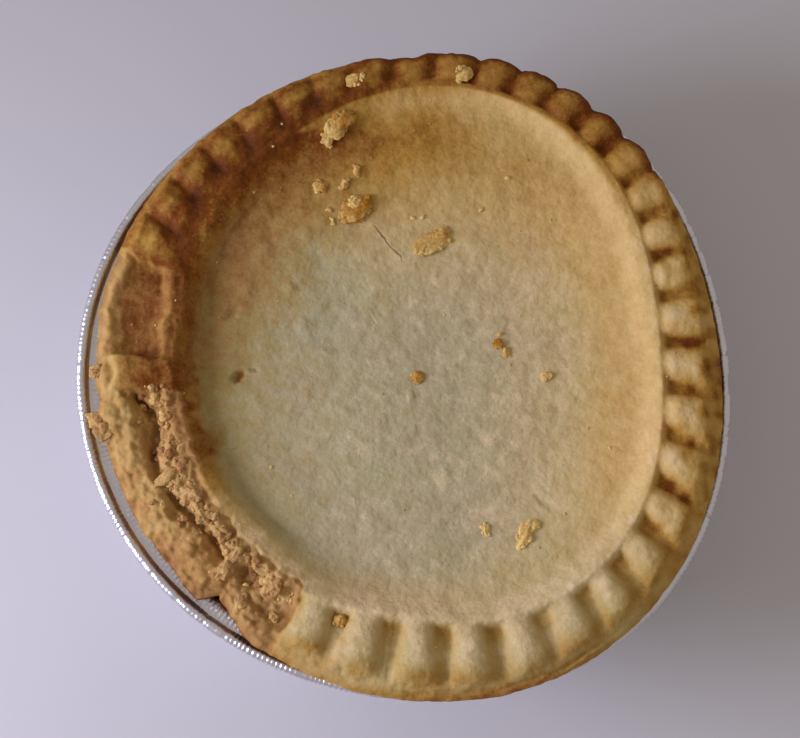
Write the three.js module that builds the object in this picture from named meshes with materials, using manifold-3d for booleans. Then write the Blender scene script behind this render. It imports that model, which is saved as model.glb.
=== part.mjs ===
// A small savoury pie with a short-crust case and a sunk lid, in its pressed foil tin.
// Millimetres, +Z up, the tin's floor on Z = 0 and its rim centred on the Z axis.
// Bearings are in degrees, from +X towards +Y. The near side of the pie is -Y.
import * as THREE from 'three';
import { mergeVertices } from 'three/addons/utils/BufferGeometryUtils.js';
import Module from 'manifold-3d';

const wasm = await Module();
wasm.setup();

// ---------- driving dimensions ----------

// Rings seen from above: a mean radius and lobes of [count, height, bearing of the first peak].
const BEAD_RING = { mean: 56.4, lobes: [[1, 1.1, -10], [2, 0.31, -32], [3, 1.12, -57], [4, 0.42, -39]] };
const LIP_RING = { mean: 54.69, lobes: [[1, 1.99, 2], [2, 1.62, -76], [3, 1.19, -58], [4, 0.27, -31]] };
const CRIMP_OUTER_RING = { mean: 52.18, lobes: [[1, 1.41, -1], [2, 1.17, -73], [3, 1.75, -57]] };
const CRIMP_INNER_RING = { mean: 44.57, lobes: [[1, 3.71, 35], [2, 2.12, -86], [3, 1.36, -56], [4, 0.81, -36]] };
const CREST_RING = { mean: 43.23, lobes: [[1, 3.63, 35], [2, 2.6, -87], [3, 1.48, -50], [4, 0.51, -29]] };
const SLOPE_FOOT_RING = { mean: 33.4, lobes: [[1, 4.9, 149], [2, 2.1, 90]] };

// Foil tin
const FOIL_WALL = 0.45;
const TIN_FLOOR_RADIUS = 41.5;
const TIN_CORNER_HEIGHT = 1.6;
const FLANGE_HEIGHT = 29.7;
const FLANGE_WIDTH = 3.4;
const FLANGE_ROUND = 0.9;
const FLANGE_WAVE = 0.2;
const BEAD_WIDTH = 2.0;
const BEAD_TOP = 31.0;
const BEAD_BOTTOM = 29.0;
const BEAD_ROUND = 0.5;
const BEAD_RIB = 0.08;
const FLOOR_ROUND = 1.5;
const TIN_WALL_DROP = 1.3;
const TIN_PLEATS = 86;
const PLEAT_DEPTH = 0.5;

// Heights of the pastry, which stands clear of the foil by the gap
const GAP = 0.35;
const LID_LOW = 31;
const LID_FAR_RISE = [3.2, 4, 44];
const LID_NEAR_RISE = [1.1, 8, 40];
const CREST_HEIGHT = 35.7;
const CRIMP_FOOT_HEIGHT = 36.1;
const RIDGE_HEIGHT = 36.9;
const SHOULDER_HEIGHT = 35.7;
const LIP_TOP = 33.1;
const LIP_EDGE_DROP = 0.7;
const LIP_ROUND = 0.5;
const LIP_UNDERCUT = 0.6;
const LIP_OVER_FLANGE = 0.25;
// The underside of the lip climbs between these distances from the inside of the bead.
const UNDERSIDE_CLIMB = [-1.6, -0.5];
const CASE_CORNER_HEIGHT = 2.2;
const CASE_FLOOR_INSET = 1.9;
const LID_SHARES = [0, 0.35, 0.68, 0.88, 1];
// The steep band under the crest: its foot's height and the least rise to it, its width, and how
// far it stays from the lid
const BAND_FOOT_HEIGHT = 33.7;
const BAND_FOOT_RISE = 0.3;
const BAND_WIDTH = 1.9;
const LEFT_BAND = { start: 100, end: 236, side: 24, width: 5.5 };
const BAND_CLEAR = 1;
// The inner edge of the rim runs straighter on the near side.
const NEAR_FLAT = { start: 259, end: 283, side: 9, depth: 1.1 };

// Crimps: each ridge takes three quarters of the pitch, and the grooves run out towards the lip.
const CRIMPS = 40;
const CRIMP_START = -28.03;
const CRIMP_SPACING = [[1, 0.88, 171], [2, 0.11, -52], [3, 0.1, -25], [4, 0.07, -22]];
const CRIMP_STATIONS = [-0.31, 0, 0.31, 0.44, 0.56];
const RIDGE_FLANK = [0.3, 0.43];
const LEAST_CREST_WIDTH = 0.9;
const GROOVE_MOUTH_DEPTH = 0.4;
const GROOVE_INNER_DEPTH = 1.8;
const GROOVE_MIDDLE_DEPTH = 1.5;
const GROOVE_OUTER_DEPTH = 0.7;
const GROOVE_END_DEPTH = 0.5;
const RIDGE_INNER_END = { reach: 1.3, drop: 0.2 };
const RIDGE_MIDDLE = 0.55;
const RIDGE_OUTER_END = { reach: 0.9, drop: 0.3 };
const SHOULDER_REACH = 0.5;
// On the far side the ridges run out almost to the lip.
const FAR_RIDGES = { start: 28, end: 150, side: 12, short: 1.6 };

// The broken stretch of rim, with one crimp left standing in it
const BREAK_START = 157.8;
const BREAK_END = 246.6;
const STANDING_CRIMP = [178.6, 186.4];
const NOTCH = { start: 229, deepest: 232.4, end: 243.5, depth: 4, overlap: 4 };
const SCALLOP = { start: 38, end: 80, side: 5, depth: 0.5 };
const TRENCH_END = 178;
const BREAK_SIDE = 0.8;
const BROKEN_CREST_DROP = 0.5;
const BROKEN_EDGE = { reach: 1.6, height: 35.6, sway: 0.8, wave: 0.5 };
const POCKET = { reach: 3.4, height: 33.2, sway: 0.5, wave: 0.5 };
const POCKET_DEEP = { start: 190, end: 232, side: 6, depth: 0.8 };
const TRENCH_FLOOR = { share: 0.52, height: 33.2, wave: 0.4 };
const TRENCH_RIM = { share: 0.7, height: 33.3, wave: 0.3 };
const OUTER_DOME = { share: 0.82, height: 34.0, rise: 1.3, part: 0.6 };

// Roughness along the break: waves to the turn, and the shift from one seed to the next
const ROUGH_WAVES = [[23, 97], [41, 53]];

// Crumbs and flakes: how uneven they are, and how much of their height the middle stands clear
const CRUMB_SWELL = 0.16;
const CRUMB_WAVES = [12.9, 4.3];
const CRUMB_LIFT = 0.25;

const WELD_DISTANCE = 1e-4;
const FULL_TURN = 360;
const SEARCH_STEPS = 40;

// ---------- shape functions ----------

const radians = THREE.MathUtils.degToRad;
const { lerp, smoothstep, clamp } = THREE.MathUtils;

function ring({ mean, lobes }, bearing) {
  let radius = mean;
  for (const [count, height, peak] of lobes) radius += height * Math.cos(count * radians(bearing - peak));
  return radius;
}

function at(bearing, radius, height) {
  const angle = radians(bearing);
  return new THREE.Vector3(radius * Math.cos(angle), radius * Math.sin(angle), height);
}

// The number of crimps passed at a bearing; a whole number is the middle of a ridge.
function crimpCount(bearing) {
  let count = CRIMP_START + (CRIMPS * bearing) / FULL_TURN;
  for (const [lobes, shift, peak] of CRIMP_SPACING) count += shift * Math.cos(lobes * radians(bearing - peak));
  return count;
}

// The bearing of a crimp, found by halving the stretch it lies in
function bearingOfCrimp(count) {
  let low = -FULL_TURN;
  let high = 2 * FULL_TURN;
  for (let step = 0; step < SEARCH_STEPS; step += 1) {
    const middle = (low + high) / 2;
    if (crimpCount(middle) < count) low = middle;
    else high = middle;
  }
  return low;
}

// 1 on a ridge, 0 on a groove's floor
function ridge(bearing) {
  const count = crimpCount(bearing);
  const offset = Math.abs(count - Math.round(count));
  return 1 - smoothstep(offset, RIDGE_FLANK[0], RIDGE_FLANK[1]);
}

function within(bearing, start, end, side) {
  return smoothstep(bearing, start - side, start + side) * (1 - smoothstep(bearing, end - side, end + side));
}

// 1 where the rim has broken away, 0 where it is whole
function broken(bearing) {
  const lost = within(bearing, BREAK_START, BREAK_END, BREAK_SIDE);
  return lost * (1 - within(bearing, STANDING_CRIMP[0], STANDING_CRIMP[1], BREAK_SIDE));
}

// How far the lip is bitten back from its ring at a bearing
function notch(bearing) {
  const { start, deepest, end, depth, overlap } = NOTCH;
  if (bearing < deepest) return depth * smoothstep(bearing, start, deepest);
  return depth * (1 - smoothstep(bearing, deepest - overlap, end));
}

// On the far right the ridges run out to the edge and scallop it.
function scallop(bearing) {
  const { start, end, side, depth } = SCALLOP;
  return depth * (2 * ridge(bearing) - 1) * within(bearing, start, end, side);
}

function lipRadius(bearing) {
  return ring(LIP_RING, bearing) + scallop(bearing) - notch(bearing);
}

// Where the ridges end on the outside
function ridgeEnd(bearing) {
  const { start, end, side, short } = FAR_RIDGES;
  const outer = ring(CRIMP_OUTER_RING, bearing);
  const far = Math.max(outer, lipRadius(bearing) - short);
  return lerp(outer, far, within(bearing, start, end, side));
}

// A repeatable roughness between -1 and 1
function rough(bearing, seed) {
  let wave = 0;
  for (const [count, shift] of ROUGH_WAVES) wave += Math.sin(radians(bearing * count + seed * shift));
  return wave / ROUGH_WAVES.length;
}

// The sunk lid rises towards the far side, and a little towards the near side.
function lidHeight(x, y) {
  const [farRise, farStart, farEnd] = LID_FAR_RISE;
  const [nearRise, nearStart, nearEnd] = LID_NEAR_RISE;
  return LID_LOW + farRise * smoothstep(y, farStart, farEnd) + nearRise * smoothstep(-y, nearStart, nearEnd);
}

function crestRadius(bearing) {
  return ring(CREST_RING, bearing) - nearFlat(bearing);
}

// Where the ridges and the grooves start on the inside
function ridgeStart(bearing) {
  const inner = ring(CRIMP_INNER_RING, bearing) - nearFlat(bearing);
  return Math.max(inner, crestRadius(bearing) + LEAST_CREST_WIDTH);
}

function nearFlat(bearing) {
  const { start, end, side, depth } = NEAR_FLAT;
  return depth * within(bearing, start, end, side);
}

function bandWidth(bearing) {
  const { start, end, side, width } = LEFT_BAND;
  return lerp(BAND_WIDTH, width, within(bearing, start, end, side));
}

function lidPoint(bearing, share) {
  const point = at(bearing, share * ring(SLOPE_FOOT_RING, bearing), 0);
  point.z = lidHeight(point.x, point.y);
  return point;
}

// ---------- pastry ----------

// The rim's section at a bearing, from the crest out to the lip: [radius, height] pairs.
function wholeRim(bearing) {
  const crest = crestRadius(bearing);
  const inner = ridgeStart(bearing);
  const outer = ridgeEnd(bearing);
  const lip = lipRadius(bearing);
  const groove = 1 - ridge(bearing);
  const shoulder = outer + SHOULDER_REACH * (1 - groove) + scallop(bearing);
  return [
    [crest, CREST_HEIGHT],
    [inner, CRIMP_FOOT_HEIGHT - GROOVE_MOUTH_DEPTH * groove],
    [inner + RIDGE_INNER_END.reach, RIDGE_HEIGHT - RIDGE_INNER_END.drop - GROOVE_INNER_DEPTH * groove],
    [lerp(inner, outer, RIDGE_MIDDLE), RIDGE_HEIGHT - GROOVE_MIDDLE_DEPTH * groove],
    [outer - RIDGE_OUTER_END.reach, RIDGE_HEIGHT - RIDGE_OUTER_END.drop - GROOVE_OUTER_DEPTH * groove],
    [shoulder, SHOULDER_HEIGHT - GROOVE_END_DEPTH * groove],
    [lip - LIP_ROUND, LIP_TOP + LIP_ROUND],
    [lip, LIP_TOP - LIP_EDGE_DROP],
  ];
}

// The same section where the top of the rim has come away: a trench, then a pocket inside a dome
function brokenRim(bearing) {
  const crest = crestRadius(bearing);
  const lip = lipRadius(bearing);
  const trench = 1 - smoothstep(bearing, TRENCH_END - BREAK_SIDE, TRENCH_END + BREAK_SIDE);
  const deep = POCKET_DEEP.depth * within(bearing, POCKET_DEEP.start, POCKET_DEEP.end, POCKET_DEEP.side);
  const pocketFloor = POCKET.height - deep + POCKET.wave * rough(bearing, 4);
  const dome = OUTER_DOME.rise * (1 - trench);
  const edge = BROKEN_EDGE.reach + BROKEN_EDGE.sway * rough(bearing, 1);
  return [
    [crest, CREST_HEIGHT - BROKEN_CREST_DROP],
    [crest + edge, BROKEN_EDGE.height + BROKEN_EDGE.wave * rough(bearing, 2)],
    [crest + POCKET.reach + POCKET.sway * rough(bearing, 3), pocketFloor],
    [lerp(crest, lip, TRENCH_FLOOR.share), TRENCH_FLOOR.height + dome + TRENCH_FLOOR.wave * rough(bearing, 5)],
    [lerp(crest, lip, TRENCH_RIM.share), TRENCH_RIM.height + dome + TRENCH_RIM.wave * rough(bearing, 6)],
    [lerp(crest, lip, OUTER_DOME.share), OUTER_DOME.height + OUTER_DOME.part * dome],
    [lip - LIP_ROUND, LIP_TOP + LIP_ROUND / 2],
    [lip, LIP_TOP - LIP_EDGE_DROP],
  ];
}

function tinWallTop(bearing) {
  return ring(BEAD_RING, bearing) - BEAD_WIDTH - FLANGE_WIDTH;
}

function lipUnderside(bearing) {
  const overBead = lipRadius(bearing) - (ring(BEAD_RING, bearing) - BEAD_WIDTH);
  const low = FLANGE_HEIGHT + LIP_OVER_FLANGE + GAP;
  return lerp(low, BEAD_TOP + GAP, smoothstep(overBead, UNDERSIDE_CLIMB[0], UNDERSIDE_CLIMB[1]));
}

// Every level of the pastry at one bearing, from the middle of the lid, out over the rim and
// down the case to the middle of its base
function pastrySection(bearing) {
  const lid = LID_SHARES.map((share) => lidPoint(bearing, share));
  const whole = wholeRim(bearing);
  const lost = brokenRim(bearing);
  const share = broken(bearing);
  const rim = whole.map(([radius, height], index) => {
    const [lostRadius, lostHeight] = lost[index];
    return at(bearing, lerp(radius, lostRadius, share), lerp(height, lostHeight, share));
  });
  const footHeight = lid[lid.length - 1].z;
  const bandHeight = Math.max(BAND_FOOT_HEIGHT, footHeight + BAND_FOOT_RISE);
  const footRadius = ring(SLOPE_FOOT_RING, bearing);
  const bandStart = Math.max(crestRadius(bearing) - bandWidth(bearing), footRadius + BAND_CLEAR);
  const bandFoot = at(bearing, bandStart, bandHeight);
  const under = lipUnderside(bearing);
  const wallTop = tinWallTop(bearing) - PLEAT_DEPTH - GAP;
  const floor = FOIL_WALL + GAP;
  const base = [
    at(bearing, lipRadius(bearing) - LIP_UNDERCUT, under),
    at(bearing, Math.min(wallTop, lipRadius(bearing) - 2 * LIP_UNDERCUT), under),
    at(bearing, TIN_FLOOR_RADIUS - PLEAT_DEPTH - GAP, CASE_CORNER_HEIGHT),
    at(bearing, TIN_FLOOR_RADIUS - CASE_FLOOR_INSET, floor),
    at(bearing, 0, floor),
  ];
  return [...lid, bandFoot, ...rim, ...base];
}

// ---------- foil ----------

// One closed section of the foil at a bearing, from the middle of the floor inside, over the
// bead and back underneath
function foilSection(bearing, pleat) {
  const bead = ring(BEAD_RING, bearing);
  const beadInner = bead - BEAD_WIDTH;
  const beadMiddle = (BEAD_TOP + BEAD_BOTTOM) / 2;
  const wallTop = tinWallTop(bearing) + pleat * PLEAT_DEPTH;
  const wallHeight = FLANGE_HEIGHT - TIN_WALL_DROP;
  const flange = FLANGE_HEIGHT + pleat * FLANGE_WAVE;
  const corner = TIN_FLOOR_RADIUS + pleat * PLEAT_DEPTH;
  return [
    at(bearing, 0, FOIL_WALL),
    at(bearing, TIN_FLOOR_RADIUS - FLOOR_ROUND, FOIL_WALL),
    at(bearing, corner, TIN_CORNER_HEIGHT),
    at(bearing, wallTop, wallHeight),
    at(bearing, wallTop + FLANGE_ROUND, flange),
    at(bearing, beadInner, FLANGE_HEIGHT),
    at(bearing, beadInner + BEAD_ROUND, BEAD_TOP),
    at(bearing, bead - BEAD_ROUND, BEAD_TOP),
    at(bearing, bead + pleat * BEAD_RIB, beadMiddle),
    at(bearing, bead - BEAD_ROUND, BEAD_BOTTOM),
    at(bearing, beadInner - FOIL_WALL / 4, FLANGE_HEIGHT - FOIL_WALL),
    at(bearing, wallTop + FLANGE_ROUND + FOIL_WALL / 2, flange - FOIL_WALL),
    at(bearing, wallTop + FOIL_WALL, wallHeight - FOIL_WALL / 2),
    at(bearing, corner + FOIL_WALL, TIN_CORNER_HEIGHT - FOIL_WALL / 4),
    at(bearing, TIN_FLOOR_RADIUS - FLOOR_ROUND + FOIL_WALL / 2, 0),
    at(bearing, 0, 0),
  ];
}

// ---------- solids ----------

// A turned body whose section changes from one bearing to the next
function turned(bearings, section) {
  const count = bearings.length;
  const levels = section(bearings[0], 0).length;
  const profile = Array.from({ length: levels }, (_, level) => {
    const onAxis = level === 0 || level === levels - 1;
    return new THREE.Vector2(onAxis ? 0 : 1, -level);
  });
  const geometry = new THREE.LatheGeometry(profile, count);
  const position = geometry.getAttribute('position');
  for (let turn = 0; turn <= count; turn += 1) {
    const index = (count - turn) % count;
    section(bearings[index], index).forEach((point, level) => {
      position.setXYZ(turn * levels + level, point.x, point.y, point.z);
    });
  }
  return weld(geometry);
}

function weld(geometry) {
  geometry.deleteAttribute('normal');
  geometry.deleteAttribute('uv');
  return mergeVertices(geometry, WELD_DISTANCE);
}

function toSolid(geometry) {
  const vertProperties = new Float32Array(geometry.getAttribute('position').array);
  const triVerts = new Uint32Array(geometry.getIndex().array);
  return new wasm.Manifold(new wasm.Mesh({ numProp: 3, vertProperties, triVerts }));
}

function toGeometry(solid) {
  const { vertProperties, triVerts } = solid.getMesh();
  const geometry = new THREE.BufferGeometry();
  geometry.setAttribute('position', new THREE.BufferAttribute(vertProperties, 3));
  geometry.setIndex(new THREE.BufferAttribute(triVerts, 1));
  geometry.computeVertexNormals();
  return geometry;
}

// A flake or crumb: an uneven lump of [length, width, height], turned to a bearing
function crumb([x, y, z], [length, width, height], turn, detail = 1) {
  const geometry = weld(new THREE.IcosahedronGeometry(1, detail));
  const position = geometry.getAttribute('position');
  const corner = new THREE.Vector3();
  for (let index = 0; index < position.count; index += 1) {
    const waves = Math.sin(CRUMB_WAVES[0] * index + x) + Math.sin(CRUMB_WAVES[1] * index + y) / 2;
    corner.fromBufferAttribute(position, index).multiplyScalar(1 + CRUMB_SWELL * waves);
    position.setXYZ(index, corner.x, corner.y, corner.z);
  }
  geometry.scale(length / 2, width / 2, height / 2);
  geometry.rotateZ(radians(turn));
  geometry.translate(x, y, z);
  return toSolid(geometry);
}

function onLid(x, y, size, turn, detail) {
  return crumb([x, y, lidHeight(x, y) + CRUMB_LIFT * size[2]], size, turn, detail);
}

function onRim(bearing, radius, height, size, turn, detail) {
  const place = at(bearing, radius, height);
  return crumb([place.x, place.y, place.z], size, bearing + turn, detail);
}

const crimpBearings = [];
for (let crimp = 0; crimp < CRIMPS; crimp += 1) {
  for (const part of CRIMP_STATIONS) crimpBearings.push(bearingOfCrimp(crimp + part) % FULL_TURN);
}

const flakes = [
  onLid(-11.4, 41.3, [5.8, 5, 2.2], 40),
  onLid(-8, 27.4, [6.5, 5, 2.6], 20),
  onLid(5, 21.8, [7.6, 4.4, 1.8], 25),
  onLid(-14.5, 31.6, [3, 2.4, 1.4], 0, 0),
  onLid(-9.2, 33.6, [3.4, 2, 1.2], 60, 0),
  onLid(2.5, -1.9, [2.2, 2, 1.3], 0, 0),
  onLid(16.6, 3.4, [3, 2, 1.2], 110, 0),
  onLid(24.5, -1.7, [2.2, 1.7, 1.2], 20, 0),
  onLid(20.3, -28.9, [5.4, 2.2, 1.6], 72, 0),
  onRim(78.4, 52.6, 36.6, [3, 2.6, 2], 20, 0),
  onRim(99.6, 50.5, 36.4, [3.4, 2, 1.6], 90, 0),
  onRim(256.6, 44.6, 35.4, [2.4, 2.4, 2.2], 0, 0),
];

const crags = [
  onRim(161.5, 42.2, 35.4, [2.6, 6, 1.6], 0, 0),
  onRim(191.6, 52.9, 32.8, [4.4, 5, 2], 0),
  onRim(181.2, 52.8, 32.7, [3, 3, 1.8], 0, 0),
  onRim(206.5, 44.3, 35.2, [5, 4, 2.2], -30),
  onRim(213, 41.4, 35.2, [3, 4, 1.8], 0, 0),
  onRim(218.5, 41.8, 34.9, [3.4, 4, 2.2], 0, 0),
  onRim(224.5, 41.6, 35, [3, 4, 1.8], 20, 0),
  onRim(227, 50, 34, [4, 4.4, 2.2], 0),
  onRim(230.4, 43.6, 35, [7, 2.6, 2.2], 0),
  onRim(236.8, 48.6, 34.2, [4.4, 3.4, 2], 0, 0),
  onRim(240.6, 43.4, 34.5, [3.2, 3.4, 3], 0, 0),
  onRim(241.8, 50.2, 33.9, [3.4, 4, 2], 0, 0),
];

const pits = [onLid(23.7, -23.4, [1.7, 1.6, 3], 0, 0), onLid(-28.1, -1.8, [2, 2.6, 2.4], 20, 0)];

let pastry = toSolid(turned(crimpBearings, pastrySection));
for (const piece of [...flakes, ...crags]) pastry = pastry.add(piece);
for (const pit of pits) pastry = pastry.subtract(pit);

const pleatBearings = Array.from({ length: 2 * TIN_PLEATS }, (_, index) => (180 * index) / TIN_PLEATS);
const foil = turned(pleatBearings, (bearing, index) => foilSection(bearing, index % 2));

// ---------- the part ----------

function mesh(name, geometry, color, roughness, metalness) {
  const material = new THREE.MeshStandardMaterial({ color, roughness, metalness });
  const piece = new THREE.Mesh(geometry, material);
  piece.name = name;
  return piece;
}

const part = new THREE.Group();
part.add(mesh('foil_tin', foil, '#c9c6cc', 0.3, 1));
part.add(mesh('pie', toGeometry(pastry), '#b08a58', 0.85, 0));

export default part;
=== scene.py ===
import functools
import math
import random
from collections import namedtuple
from types import SimpleNamespace

import bmesh
import bpy
from bpy.props import FloatProperty, FloatVectorProperty, IntProperty, PointerProperty
from bpy.types import Operator, Panel, PropertyGroup
from mathutils import Matrix, Vector, noise


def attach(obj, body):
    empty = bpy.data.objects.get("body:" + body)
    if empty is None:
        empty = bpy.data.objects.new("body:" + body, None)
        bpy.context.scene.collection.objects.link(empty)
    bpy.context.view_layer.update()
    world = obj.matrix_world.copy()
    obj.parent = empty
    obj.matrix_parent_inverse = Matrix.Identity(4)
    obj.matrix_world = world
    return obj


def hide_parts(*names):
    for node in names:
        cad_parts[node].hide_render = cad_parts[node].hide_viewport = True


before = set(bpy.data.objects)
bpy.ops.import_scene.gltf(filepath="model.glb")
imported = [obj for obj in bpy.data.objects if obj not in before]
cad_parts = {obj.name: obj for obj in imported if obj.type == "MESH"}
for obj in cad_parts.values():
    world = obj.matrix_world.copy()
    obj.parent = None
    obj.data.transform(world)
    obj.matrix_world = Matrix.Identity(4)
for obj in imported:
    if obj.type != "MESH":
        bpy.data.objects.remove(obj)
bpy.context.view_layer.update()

bl_info = {
    "name": "Savoury pie in its foil tin",
    "version": (1, 0, 0),
    "blender": (4, 5, 0),
    "location": "View3D > Sidebar > Pie",
    "description": "Bakes the crust, scatters its crumbs, presses the foil tin and lays the stage",
    "category": "Mesh",
}

MM = 0.001  # the shapes below are worked out in millimetres

# ---------- rings of the pie seen from above ----------
# A mean radius in mm and lobes of (count, height in mm, bearing of the first peak in degrees).
# Bearings run from +X towards +Y; the near side of the pie is -Y.
BEAD_RING = (56.4, ((1, 1.1, -10), (2, 0.31, -32), (3, 1.12, -57), (4, 0.42, -39)))
LIP_RING = (54.69, ((1, 1.99, 2), (2, 1.62, -76), (3, 1.19, -58), (4, 0.27, -31)))
CRIMP_OUTER_RING = (52.18, ((1, 1.41, -1), (2, 1.17, -73), (3, 1.75, -57)))
CRIMP_INNER_RING = (44.57, ((1, 3.71, 35), (2, 2.12, -86), (3, 1.36, -56), (4, 0.81, -36)))
CREST_RING = (43.23, ((1, 3.63, 35), (2, 2.6, -87), (3, 1.48, -50), (4, 0.51, -29)))
SLOPE_FOOT_RING = (33.4, ((1, 4.9, 149), (2, 2.1, 90)))

# ---------- heights in mm ----------
LID_FAR_RISE = (3.2, 4, 44)
LID_NEAR_RISE = (1.1, 8, 40)
BAND_FOOT_HEIGHT = 33.7
BAND_FOOT_RISE = 0.3
CREST_HEIGHT = 35.7
CRIMP_FOOT_HEIGHT = 36.1
LIP_TOP = 33.1
SHELF_HEIGHT = 34.9
FLANGE_HEIGHT = 29.7
TALLEST = 37.4
BEAD_TOP = 31.0
BEAD_BOTTOM = 29.0
BEAD_WIDTH = 2.0
FLANGE_WIDTH = 3.4
TIN_FLOOR_RADIUS = 41.5
TIN_FLOOR_TOP = 0.45
WALL_FOOT, WALL_TOP = 1.6, 28.6
PIE_BASE = 0.8
GAP = 0.35
# Width of the steep band under the crest, near and far from the left
BAND_WIDTH, LEFT_BAND_WIDTH = 1.9, 5.5
BAND_CLEAR = 1.0
# The inner edge of the rim runs straighter on the near side: from, to, side and depth
NEAR_FLAT = (259, 283, 9, 1.1)

# ---------- crimps ----------
CRIMP_START = -28.03
CRIMP_SPACING = ((1, 0.88, 171), (2, 0.11, -52), (3, 0.1, -25), (4, 0.07, -22))
CRIMP_LEAN = 1.2  # degrees from a ridge's inner end to its outer end
# Stretches of the rim, from and to a bearing with soft ends: wider grooves on the near side, and
# crimps worn low at the far left
NEAR_CRIMPS = (246, 326, 14)
WORN_CRIMPS = (84, 156, 8)

# ---------- the broken stretch ----------
BREAK_START = 157.8
BREAK_END = 246.6
STANDING_CRIMP = (178.6, 186.4)
NOTCH_START, NOTCH_DEEPEST, NOTCH_END, NOTCH_DEPTH = 229, 232.4, 243.5, 2.9
SCALLOP_START, SCALLOP_END, SCALLOP_DEPTH = 38, 80, 0.5

# Height of the broken rim over the base, in mm: a bearing, then the heights at BREAK_SHARES of
# the way from the crest to the lip.
BREAK_SHARES = (0, 0.12, 0.24, 0.36, 0.48, 0.6, 0.72, 0.86, 1)
BREAK_CHART = (
    (156.0, (35.3, 36.0, 35.6, 34.4, 33.7, 33.5, 33.6, 34.2, 33.2)),
    (160.5, (35.3, 35.9, 35.2, 32.7, 33.3, 33.4, 33.6, 34.3, 33.2)),
    (165.0, (35.3, 35.7, 33.9, 33.3, 33.3, 33.4, 33.7, 34.4, 33.2)),
    (172.0, (35.3, 35.5, 33.6, 33.3, 33.3, 33.4, 33.8, 34.5, 33.2)),
    (178.0, (35.3, 35.4, 33.6, 33.2, 33.2, 33.5, 33.9, 34.4, 33.1)),
    (187.5, (35.3, 35.6, 34.9, 33.4, 32.9, 34.3, 34.7, 34.3, 33.0)),
    (191.5, (35.3, 35.7, 33.7, 32.7, 33.8, 34.9, 35.0, 34.3, 32.9)),
    (197.0, (35.3, 35.6, 34.3, 32.9, 33.5, 34.8, 35.0, 34.2, 32.9)),
    (203.0, (35.3, 35.5, 35.2, 34.2, 33.0, 34.5, 34.9, 34.1, 32.8)),
    (208.0, (35.3, 35.4, 35.2, 35.3, 34.6, 35.1, 34.9, 34.0, 32.8)),
    (212.0, (35.3, 35.4, 35.1, 34.4, 33.4, 35.2, 35.0, 34.0, 32.8)),
    (219.0, (35.3, 35.4, 35.2, 33.9, 34.9, 35.2, 34.9, 33.9, 32.7)),
    (226.0, (35.3, 35.4, 35.0, 33.8, 34.6, 34.9, 34.8, 33.8, 32.8)),
    (230.0, (35.3, 35.5, 35.7, 35.6, 35.2, 34.6, 34.2, 33.4, 32.6)),
    (234.0, (35.3, 35.5, 34.6, 32.6, 33.0, 33.8, 34.3, 33.6, 32.4)),
    (238.0, (35.3, 35.4, 34.6, 34.0, 34.2, 33.6, 34.3, 33.9, 32.6)),
    (243.0, (35.3, 35.5, 34.9, 34.0, 33.5, 33.4, 33.9, 33.7, 32.8)),
    (250.0, (35.3, 35.6, 35.0, 34.0, 33.6, 33.5, 33.9, 33.7, 32.8)),
)
# Cracks in the rim: (bearing, radius) along each, in degrees and mm
RIM_CRACKS = (
    ((187.5, 45.4), (189.6, 44.2), (191.5, 43.3), (194.5, 42.6), (197.8, 43.9), (201.5, 45.2)),
    ((209.7, 44.8), (215.5, 44.0), (221.6, 43.0), (227.9, 44.3)),
)
# The fine crack and the pits of the lid: x, y, and for a pit its length, width, turn and depth
LID_CRACK = ((-5.2, 25.0), (-3.2, 23.3), (-1.9, 21.6), (-0.9, 19.8), (0.5, 18.0))
LID_PITS = (
    (23.7, -23.4, 1.9, 1.4, 40, 1.5),
    (-28.1, -1.8, 2.9, 1.7, 55, 1.2),
    (-25.5, -0.6, 1.2, 0.9, 20, 0.6),
    (-29.5, 9.5, 3.6, 1.6, 45, 0.7),
    (-28.6, -14.4, 0.7, 0.6, 0, 0.3),
)
# Low bumps of the lid: x, y, length, width, turn and height
LID_BUMPS = (
    (-19.5, 13.6, 2.4, 1.7, 30, 0.35),
    (-17.5, 7.4, 3.0, 1.8, 60, 0.3),
    (-12.7, 2.5, 2.0, 1.5, 0, 0.3),
    (20.5, 12.3, 1.7, 1.2, 20, 0.3),
    (1.3, -5.3, 1.7, 1.4, 60, 0.3),
    (-17.0, 23.0, 3.4, 2.2, 70, 0.3),
    (-24.0, 20.5, 3.8, 2.4, 40, 0.35),
    (-27.0, 13.5, 3.2, 2.0, 60, 0.3),
)


Rings = namedtuple("Rings", "foot band crest inner outer lip bead")


def smooth(value, low, high):
    """0 below low, 1 above high and a smooth step between them"""
    share = min(max((value - low) / (high - low), 0.0), 1.0)
    return share * share * (3 - 2 * share)


def mix(first, second, share):
    return first + (second - first) * share


def within(value, start, end, side):
    return smooth(value, start - side, start + side) * (1 - smooth(value, end - side, end + side))


def ring(form, bearing):
    mean, lobes = form
    return mean + sum(h * math.cos(math.radians(n * (bearing - peak))) for n, h, peak in lobes)


def from_right(bearing):
    """How many degrees a bearing is from the right of the picture, +X"""
    return abs((bearing + 180) % 360 - 180)


def grain(x, y, z, size, seed=0.0):
    """Soft noise from -1 to 1 with features of that size in mm"""
    return noise.noise(Vector((x / size + seed, y / size - seed, z / size + 2.3 * seed)))


def crag_height(x, y, size, seed=0.0):
    """Broken lumps of that size in mm, each with its own height and tilt, with cracks between"""
    distances, centres = noise.voronoi(Vector((x / size + seed, y / size - seed, seed)))
    centre = centres[0]
    own = noise.noise(centre * 5.3)
    tilt = 0.6 * (x / size + seed - centre.x) * noise.noise(centre * 3.1)
    crack = smooth(distances[1] - distances[0], 0.02, 0.3)
    return (0.5 + 0.6 * own + tilt) * (0.35 + 0.65 * crack)


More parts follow.
